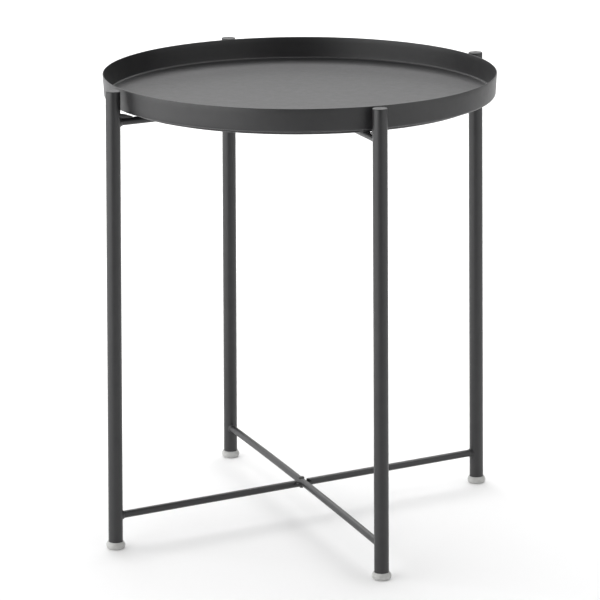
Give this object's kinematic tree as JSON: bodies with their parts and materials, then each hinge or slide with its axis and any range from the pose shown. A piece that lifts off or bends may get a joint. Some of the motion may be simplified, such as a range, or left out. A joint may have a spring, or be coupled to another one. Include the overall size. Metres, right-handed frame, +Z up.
{
  "type": "folding tray table",
  "caption": "Round folding side table: a lift-off rimmed steel tray on two tube-leg frames hinged where their rods cross.",
  "frame": {"origin": "on the floor, under the vertical line on which the two frames turn, which is also the middle of the tray", "axes": "+Z up; frame A (upper halves of the laps) runs 49 degrees clockwise of +X seen from above, frame B 49 degrees anticlockwise"},
  "size_m": [0.4467, 0.4468, 0.5284],
  "materials": {
    "frame_coat": "satin black powder coat",
    "tray_coat": "satin black powder coat",
    "leg_plug": "moulded, satin",
    "foot_cap": "soft translucent pale grey",
    "fastener": "black oxide",
    "spacer": "moulded nylon"
  },
  "bodies": {
    "frame_a": {"foot_a_left": "foot_cap", "foot_a_right": "foot_cap", "leg_a_left": "frame_coat", "leg_a_right": "frame_coat", "leg_plug_a_left": "leg_plug", "leg_plug_a_right": "leg_plug", "lower_pivot_rivet": "fastener", "lower_pivot_spacer": "spacer", "lower_rod_a": "frame_coat", "lug_a_left": "frame_coat", "lug_a_right": "frame_coat", "upper_pivot_rivet": "fastener", "upper_pivot_spacer": "spacer", "upper_rod_a": "frame_coat"},
    "frame_b": {"foot_b_left": "foot_cap", "foot_b_right": "foot_cap", "leg_b_left": "frame_coat", "leg_b_right": "frame_coat", "leg_plug_b_left": "leg_plug", "leg_plug_b_right": "leg_plug", "lower_rod_b": "frame_coat", "lug_b_left": "frame_coat", "lug_b_right": "frame_coat", "upper_rod_b": "frame_coat"},
    "tray": {"tray": "tray_coat", "tray_ring": "tray_coat"}
  },
  "joints": [
    {"name": "fold", "type": "hinge", "parent": "frame_a", "child": "frame_b", "pos_m": [0, 0, 0], "axis": [0, 0, 1], "range_deg": [-56, 40]},
    {"name": "tray_lift", "type": "slide", "parent": "frame_a", "child": "tray", "axis": [0, 0, 1], "range_m": [0, 0.15]}
  ]
}
